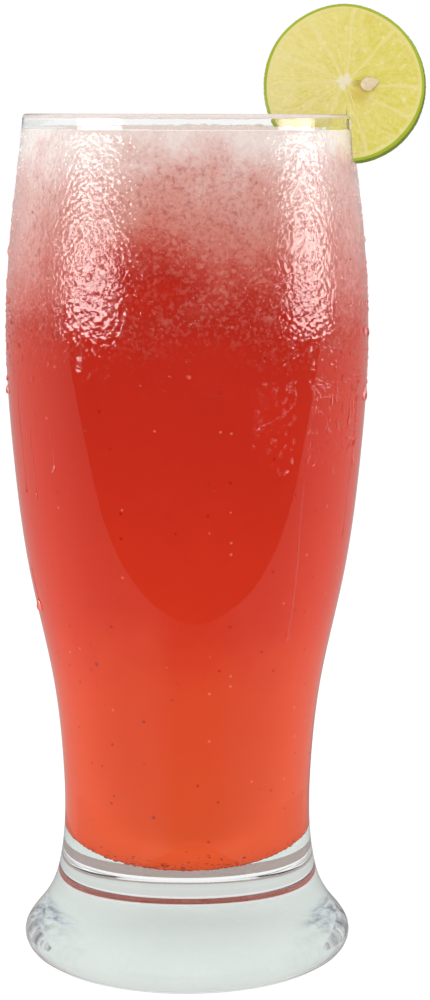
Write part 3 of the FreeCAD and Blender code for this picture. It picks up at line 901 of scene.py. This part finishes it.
g = np.random.default_rng(9)
bv, bf, placed = [], [], []
for r in np.sort(np.exp(g.normal(math.log(0.34), 0.50, 1500)))[::-1]:
    r = min(r, 1.5)
    for _ in range(8):
        rad = 35.6 * math.sqrt(g.uniform())
        if g.uniform() < 0.25:
            rad = 35.6 - abs(g.normal()) * 1.6
        a = g.uniform(0, 2 * math.pi)
        x, y = rad * math.cos(a), rad * math.sin(a)
        # none where the lime stands in the froth
        u = x * math.cos(SPIN) - y * math.sin(SPIN)
        v = x * math.sin(SPIN) + y * math.cos(SPIN)
        if rad + r > 35.9 or (u > 15 and abs(v + 0.4) < THICK / 2 + 1.6 + r):
            continue
        if all((x - px) ** 2 + (y - py) ** 2 > ((r + pr) * 0.9) ** 2 for px, py, pr in placed):
            placed.append((x, y, r))
            z = FROTH_Z + 0.4 * (1 - (rad / 36.2) ** 2) + float(curds(x, y)) * (0.35 + 0.65 * float(step01(36.6 - rad, 0.0, 3.0))) - 0.04
            small_dome(bv, bf, np.array([x, y, z]), r, r * 0.62, 9 if r < 0.5 else 16, 3 if r < 0.5 else 5)
            break
bubbles = new_object("froth_bubbles", np.array(bv) * MM, bf, False)
bubbles.data.shade_smooth()
bubbles.data.materials.append(bubble_material())
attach(bubbles, "root")


def pulp_material():
    m = Nodes("pulp_bits")
    co = m.coords()
    col = m.mix(m.noise(co, 1200.0, 2.0), lin(140, 28, 18), lin(206, 84, 60))
    p = m.principled(Base_Color=col, Roughness=0.6, Specular_IOR_Level=0.1)
    m.link(m.bump(m.noise(co, 1500.0, 2.0), 0.4, 0.0001), p.inputs["Normal"])
    m.link(p.outputs[0], m.out.inputs["Surface"])
    return m.mat


# bits of pulp that have settled where the bowl curves in, and a few higher up
low = inner_c[::-1]
pv, pf = [], []
for i in range(1100):
    if i < 1000:
        k = int(np.interp(g.normal(0.0, 1.7) + 25.6, [21.8, 30.0], [np.searchsorted(low[:, 0], 9.0), np.searchsorted(low[:, 1], 30.0)]))
    else:
        k = int(np.searchsorted(low[:, 1], g.uniform(30, 178)))
    k = min(max(k, 2), len(low) - 3)
    (r0, z0), (r1, z1) = low[k - 1], low[k + 1]
    a = g.uniform(0, 2 * math.pi)
    nrm = np.array([(z1 - z0) * math.cos(a), (z1 - z0) * math.sin(a), -(r1 - r0)])
    nrm /= np.linalg.norm(nrm)
    size = float(np.exp(g.normal(math.log(0.27), 0.35)))
    c = np.array([low[k, 0] * math.cos(a), low[k, 0] * math.sin(a), low[k, 1]]) + nrm * INTO
    small_dome(pv, pf, c, size, size * 0.55, 7, 2, nrm)
pulp_bits = new_object("pulp_bits", np.array(pv) * MM, pf, False)
pulp_bits.data.shade_smooth()
pulp_bits.data.materials.append(pulp_material())
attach(pulp_bits, "root")

# ---------------------------------------------------------------- water drops
def water_material():
    """Condensed water."""
    m = Nodes("condensed_water")
    co = m.coords()
    tint = m.mix(m.noise(co, 200.0, 2.0), (0.985, 0.985, 0.985), (1.0, 1.0, 1.0))
    p = m.principled(Base_Color=tint, Roughness=0.0, IOR=1.33, Transmission_Weight=1.0)
    m.link(m.bump(m.noise(co, 700.0, 2.0), 0.15, 0.0001), p.inputs["Normal"])
    light_passes(m, p.outputs[0])
    return m.mat


water = water_material()


def wall_frame(az, z):
    """A point on the glass's outside (mm) with its sideways, upward and outward directions."""
    r = r_out(z)
    slope = (r_out(z + 0.3) - r_out(z - 0.3)) / 0.6
    out2 = np.array([math.sin(az), -math.cos(az)])
    k = math.hypot(1, slope)
    point = np.array([out2[0] * r, out2[1] * r, z])
    across = np.array([math.cos(az), math.sin(az), 0.0])
    up = np.array([out2[0] * slope, out2[1] * slope, 1.0]) / k
    outward = np.array([out2[0], out2[1], -slope]) / k
    return point, across, up, outward


def dome(verts, faces, az, z, ra, rb, high, seg, rings, g, sag=0.0, rough=0.12, embed=0.07):
    """A drop on the wall: ra wide, rb tall, `high` thick, its lower end fuller by `sag`."""
    point, across, up, outward = wall_frame(az, z)
    base = len(verts)
    w = [(g.normal() * rough / k, g.uniform(0, 6.3)) for k in (1, 2, 3)]
    for i in range(rings):
        q = 1 - i / rings
        h = high * math.sqrt(max(1 - q * q, 0)) if i else -embed
        for k in range(seg):
            a = 2 * math.pi * k / seg
            wob = 1 + sum(c * math.sin((j + 2) * a + p) for j, (c, p) in enumerate(w))
            da = math.cos(a) * ra * q * wob
            db = math.sin(a) * rb * q * wob
            hh = h * (1 - sag * math.sin(a) * q) if i else h
            verts.append(point + across * da + up * db + outward * hh)
    verts.append(point + outward * high + up * (-sag * 0.2 * rb))
    for i in range(rings - 1):
        for k in range(seg):
            m = (k + 1) % seg
            faces.append((base + i * seg + k, base + i * seg + m, base + (i + 1) * seg + m, base + (i + 1) * seg + k))
    top = len(verts) - 1
    for k in range(seg):
        faces.append((base + (rings - 1) * seg + k, base + (rings - 1) * seg + (k + 1) % seg, top))


def scatter_drops():
    g = np.random.default_rng(77)
    verts, faces, cells = [], [], {}
    wiped = [(-36.5, 2.6, 137, 153), (37.5, 2.4, 118, 147), (-58.0, 1.6, 112, 128)]  # degrees, half width, from, to
    wanted = np.sort(np.exp(g.normal(math.log(0.30), 0.42, 4900)))[::-1]
    for r in wanted:
        r = min(r, 1.15)
        for _ in range(6):
            az = g.uniform(-math.pi, math.pi)
            z = 137.6 + 58.0 * g.uniform() ** 0.9
            deg = math.degrees(az)
            strip = max(math.exp(-((deg + 31) / 10) ** 2), math.exp(-((deg - 41) / 10) ** 2))
            if r > 0.55 and g.uniform() > 0.12 + 0.9 * strip:
                continue
            low = 138.0 if deg < 5 else 131.0
            if z < low + 3.0 * g.uniform() or any(abs(deg - d) < w and z0 < z < z1 for d, w, z0, z1 in wiped):
                continue
            p = wall_frame(az, z)[0]
            key = tuple(np.floor(p / 2.4).astype(int))
            near = [c for dx in (-1, 0, 1) for dy in (-1, 0, 1) for dz in (-1, 0, 1)
                    for c in cells.get((key[0] + dx, key[1] + dy, key[2] + dz), ())]
            if all(math.dist(p, c[:3]) > (r + c[3]) * 0.86 for c in near):
                cells.setdefault(key, []).append((*p, r))
                flat = g.uniform(0.32, 0.50)
                if r < 0.36:
                    dome(verts, faces, az, z, r, r * g.uniform(0.9, 1.2), r * flat, 7, 2, g, 0.1)
                elif r < 0.6:
                    dome(verts, faces, az, z, r, r * g.uniform(0.9, 1.25), r * flat, 10, 3, g, 0.2, 0.16)
                else:
                    dome(verts, faces, az, z, r, r * g.uniform(0.9, 1.35), r * flat * 0.9, 16, 5, g, 0.3, 0.20)
                break
    # a sparser lower fringe on the right, and lone drops
    for _ in range(320):
        az, z = math.radians(g.uniform(20, 70)), 118 + 24 * g.uniform() ** 0.6
        r = float(np.exp(g.normal(math.log(0.40), 0.3)))
        if not any(abs(math.degrees(az) - d) < w and z0 < z < z1 for d, w, z0, z1 in wiped):
            dome(verts, faces, az, z, r, r * 1.2, r * 0.5, 8, 3, g, 0.2)
    return verts, faces


dv, df = scatter_drops()
dew = new_object("dew_drops", np.array(dv) * MM, df, False)
dew.data.shade_smooth()
dew.data.materials.append(water)
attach(dew, "root")
print("dew drops", len(dv), "points", sum(len(f) - 2 for f in df), "triangles")


def run_drop(verts, faces, az_deg, z_head, z_top, width, head_r, head_h, g, wander=0.6):
    """A drop that has run down the wall, with the film it leaves."""
    n, m = 46, 9
    base = len(verts)
    ph = g.uniform(0, 6.3)
    for i in range(n + 1):
        t = i / n
        z = z_head - head_r * 1.1 + t * (z_top - z_head + head_r * 1.1)
        s = (z - z_head) / head_r
        if s < 0:
            w, h = math.sqrt(max(1 - (s / 1.1) ** 2, 0)), math.sqrt(max(1 - (s / 1.1) ** 2, 0))
        else:
            w = (1 - width) * math.exp(-(s / 1.5) ** 2) + width
            h = 0.86 * math.exp(-(s / 1.15) ** 2) + 0.14
        fade = min(1.0, (1 - t) * 7)
        w, h = w * head_r * (0.35 + 0.65 * fade), h * head_h * fade
        az = math.radians(az_deg) + (wander * math.sin(t * 5 + ph) * t) / r_out(z)
        point, across, up, outward = wall_frame(az, z)
        for k in range(m):
            q = -1 + 2 * k / (m - 1)
            hh = h * math.sqrt(max(1 - q * q, 0)) if 0 < k < m - 1 else -0.07
            verts.append(point + across * (q * max(w, 0.02)) + outward * hh)
    for i in range(n):
        for k in range(m - 1):
            a = base + i * m + k
            faces.append((a, a + 1, a + m + 1, a + m))


# azimuth of the head (degrees from the front), its height, the trail's top (mm),
# the trail's width as a part of the head's, the head's radius and thickness (mm)
RUNS = [(-34.2, 144.6, 156.0, 0.90, 1.15, 0.50), (-46.9, 120.9, 129.0, 0.35, 0.80, 0.45),
        (-73.4, 85.6, 96.0, 0.40, 1.10, 0.80), (40.3, 81.3, 120.0, 0.40, 0.95, 0.42),
        (61.9, 130.6, 138.0, 0.40, 0.90, 0.50), (-66.3, 114.0, 140.0, 0.60, 0.50, 0.24),
        (66.8, 103.5, 140.0, 0.60, 0.55, 0.26), (-58.5, 113.5, 131.0, 0.5, 0.6, 0.28),
        (118.0, 121.0, 150.0, 0.40, 1.0, 0.5), (164.0, 96.0, 141.0, 0.40, 1.0, 0.45),
        (-131.0, 128.0, 146.0, 0.45, 0.9, 0.45), (-152.0, 140.0, 152.0, 0.6, 0.9, 0.4)]
# azimuth, height, half width, half height, thickness
LONE = [(76.5, 150.5, 0.9, 1.3, 0.75), (77.5, 136.0, 0.8, 1.9, 0.65), (-81.0, 136.5, 0.8, 1.1, 0.6),
        (20.5, 146.0, 0.5, 0.85, 0.28), (-62.0, 74.0, 0.5, 0.6, 0.3), (52.0, 112.0, 0.45, 0.6, 0.28)]
rv, rf = [], []
g = np.random.default_rng(12)
for spec in RUNS:
    run_drop(rv, rf, *spec, g)
for az, z, ra, rb, h in LONE:
    dome(rv, rf, math.radians(az), z, ra, rb, h, 22, 7, g, 0.25, 0.05)
runs = new_object("run_drops", np.array(rv) * MM, rf, False)
runs.data.shade_smooth()
runs.data.materials.append(water)
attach(runs, "root")

# ------------------------------------------------------------ floor and light
FL = 60.0
floor = new_object("floor", [(-FL, -FL, -0.0004), (FL, -FL, -0.0004), (FL, FL, -0.0004), (-FL, FL, -0.0004)], [(0, 1, 2, 3)], False)
m = Nodes("pale_floor")
co = m.coords()
p = m.principled(Base_Color=m.mix(m.noise(co, 3.0, 2.0), (0.975, 0.975, 0.975), (0.985, 0.985, 0.985)), Roughness=0.8,
                 Specular_IOR_Level=0.0, Emission_Color=(1.0, 1.0, 1.0), Emission_Strength=0.11)
m.link(p.outputs[0], m.out.inputs["Surface"])
floor.data.materials.append(m.mat)
floor.visible_glossy = False


def emitter(name, corners, strength, colour=(1, 1, 1), glossy=True, transmit=True, diffuse=False, camera=False):
    """A stage card that only reflections see: a softbox's face, or a black flag."""
    ob = new_object(name, corners, [(0, 1, 2, 3)], False)
    m = Nodes(name + "_face")
    if strength > 0:
        e = m.add("ShaderNodeEmission")
        e.inputs[0].default_value = (*colour, 1)
        e.inputs[1].default_value = strength
    else:
        e = m.add("ShaderNodeBsdfDiffuse")
        e.inputs[0].default_value = (0.012, 0.012, 0.013, 1)
    m.link(e.outputs[0], m.out.inputs["Surface"])
    ob.data.materials.append(m.mat)
    ob.visible_camera = camera
    ob.visible_glossy = glossy
    ob.visible_transmission = transmit
    ob.visible_diffuse = diffuse
    ob.visible_shadow = False
    return ob


UNDER = -0.0002  # the cards lie just under the foot
EDGE = 0.157  # the table ends this far in front of the glass
# what mirrors see of the table: bright behind its front edge, dimmer where the glass
# stands over it, and dark in front of the edge
table = emitter("table_mirrored", [(-2.0, -EDGE - 0.2, UNDER), (2.0, -EDGE + 0.2, UNDER), (2.0, 3.0, UNDER), (-2.0, 3.0, UNDER)],
                0.50, transmit=False)
emitter("dark_front", [(-60.0, -60.0, UNDER - 0.00005), (60.0, -60.0, UNDER - 0.00005), (60.0, -EDGE + 6.0, UNDER - 0.00005), (-60.0, -EDGE - 6.0, UNDER - 0.00005)], 0)
m = Nodes("table_mirrored_face")
x, y, z = m.xyz(m.coords())
level = m.math("MAXIMUM", m.span(x, -0.075, -0.012, 0.50, 0.17, True), m.span(x, 0.028, 0.125, 0.17, 0.50, True))
tint = m.mix(m.span(y, -0.16, -0.05), (1.0, 0.80, 0.72), (1.0, 0.92, 0.90))
e = m.add("ShaderNodeEmission")
m.link(tint, e.inputs[0])
m.link(level, e.inputs[1])
m.link(e.outputs[0], m.out.inputs["Surface"])
table.data.materials.clear()
table.data.materials.append(m.mat)


def area(name, loc, target, sx, sy, power, glossy=True, diffuse=True, transmit=True, colour=(1, 1, 1)):
    data = bpy.data.lights.new(name, "AREA")
    data.shape = "RECTANGLE"
    data.size, data.size_y = sx, sy
    data.energy = power
    data.color = colour
    ob = bpy.data.objects.new(name, data)
    bpy.context.scene.collection.objects.link(ob)
    ob.location = loc
    ob.rotation_euler = (Vector(target) - Vector(loc)).to_track_quat("-Z", "Y").to_euler()
    ob.visible_camera = False
    ob.visible_glossy = glossy
    ob.visible_diffuse = diffuse
    ob.visible_transmission = transmit
    return ob


def softbox(name, az, width_deg, z0, z1, dist, radiance, **kw):
    a = math.radians(az)
    w = 2 * dist * math.tan(math.radians(width_deg / 2))
    loc = (dist * math.sin(a), -dist * math.cos(a), (z0 + z1) / 2)
    ar = w * (z1 - z0)
    return area(name, loc, (0, 0, (z0 + z1) / 2), w, z1 - z0, radiance * ar * math.pi, **kw)


softbox("left_box", -63, 34, 0.10, 0.402, 1.2, 13.0, diffuse=False)
softbox("right_box", 82, 30, 0.085, 0.42, 1.2, 10.5, diffuse=False)


def foot_band(name, az0, az1, z0, z1, strength, r=0.058):
    """A low curved card round the foot, which only the foot mirrors."""
    n = 14
    a = np.radians(np.linspace(az0, az1, n + 1))
    pts = [(r * math.sin(t), -r * math.cos(t), z) for t in a for z in (z0, z1)]
    quads = [(2 * i, 2 * i + 2, 2 * i + 3, 2 * i + 1) for i in range(n)]
    ob = new_object(name, pts, quads, False)
    m = Nodes(name + "_face")
    e = m.add("ShaderNodeEmission")
    e.inputs[1].default_value = strength
    m.link(e.outputs[0], m.out.inputs["Surface"])
    ob.data.materials.append(m.mat)
    ob.visible_camera = ob.visible_transmission = ob.visible_diffuse = ob.visible_shadow = False


# the table close behind, as the foot shows it: in its shade
shade = new_object("table_behind", [(-0.09, 0.039, -0.0001), (0.09, 0.039, -0.0001), (0.09, 0.11, -0.0001), (-0.09, 0.11, -0.0001)], [(0, 1, 2, 3)], False)
sm = Nodes("table_behind_face")
se = sm.add("ShaderNodeEmission")
se.inputs[0].default_value = (0.96, 1.0, 0.97, 1.0)
se.inputs[1].default_value = 0.72
sm.link(se.outputs[0], sm.out.inputs["Surface"])
shade.data.materials.append(sm.mat)
shade.visible_camera = shade.visible_glossy = shade.visible_diffuse = shade.visible_shadow = False

# these keep the softboxes out of the foot, and the band behind it greys its edges
foot_band("left_band", -98, -30, 0.004, 0.028, 0.36)
foot_band("right_band", 40, 112, 0.004, 0.028, 0.36)
foot_band("back_band_l", -178, -99, 0.002, 0.020, 0.30)
foot_band("back_band_r", 113, 180, 0.002, 0.020, 0.30)
area("top_box", (-0.5, -0.5, 1.5), (0, 0, 0.1), 1.0, 1.0, 1.0 * math.pi * 0.5, glossy=False, transmit=False)

world = bpy.data.worlds.new("studio")
bpy.context.scene.world = world
world.use_nodes = True
nt = world.node_tree
nt.nodes.clear()
out = nt.nodes.new("ShaderNodeOutputWorld")
bg = nt.nodes.new("ShaderNodeBackground")
tc = nt.nodes.new("ShaderNodeTexCoord")
sep = nt.nodes.new("ShaderNodeSeparateXYZ")
nt.links.new(tc.outputs["Generated"], sep.inputs[0])
def wmath(op, a, b):
    n = nt.nodes.new("ShaderNodeMath")
    n.operation = op
    for i, v in enumerate((a, b)):
        if isinstance(v, (int, float)):
            n.inputs[i].default_value = v
        else:
            nt.links.new(v, n.inputs[i])
    return n.outputs[0]


mr = nt.nodes.new("ShaderNodeMapRange")
mr.inputs["From Min"].default_value = -0.13
mr.inputs["From Max"].default_value = -0.05
nt.links.new(sep.outputs[1], mr.inputs["Value"])
behind = mr.outputs[0]
path = nt.nodes.new("ShaderNodeLightPath")
plain = wmath("MAXIMUM", path.outputs["Is Camera Ray"], path.outputs["Is Diffuse Ray"])
through = path.outputs["Is Transmission Ray"]
# mirrors see a dim white surround behind and beside the glass, and a dark room in front
seen = wmath("ADD", wmath("MULTIPLY", wmath("ADD", 0.35, wmath("MULTIPLY", through, 0.5)), behind), 0.015)
up = nt.nodes.new("ShaderNodeMapRange")
up.inputs["From Min"].default_value = math.sin(math.radians(16))
up.inputs["From Max"].default_value = math.sin(math.radians(34))
up.inputs["To Max"].default_value = 0.62
nt.links.new(sep.outputs[2], up.inputs["Value"])
seen = wmath("MAXIMUM", seen, up.outputs[0])
level = wmath("MAXIMUM", seen, plain)
nt.links.new(level, bg.inputs["Strength"])
bg.inputs["Color"].default_value = (1, 1, 1, 1)
nt.links.new(bg.outputs[0], out.inputs["Surface"])

# ------------------------------------------------------------------- camera
cam = bpy.data.cameras.new("camera")
cam.sensor_width = 36.0
cam.lens = 84.6
cam.clip_start = 0.01
cam_ob = bpy.data.objects.new("camera", cam)
bpy.context.scene.collection.objects.link(cam_ob)
cam_ob.location = (0.0, -0.5525, 0.200)
yaw, pitch, roll = math.radians(-0.685), math.radians(9.33), math.radians(0.12)
rot = Matrix.Rotation(yaw, 3, "Z") @ Matrix.Rotation(math.pi / 2 - pitch, 3, "X") @ Matrix.Rotation(roll, 3, "Z")
cam_ob.rotation_euler = rot.to_euler()
bpy.context.scene.camera = cam_ob

scene = bpy.context.scene
scene.view_settings.view_transform = "Standard"
scene.view_settings.look = "None"
scene.cycles.diffuse_bounces = 2
scene.cycles.glossy_bounces = 6
scene.cycles.max_bounces = 10
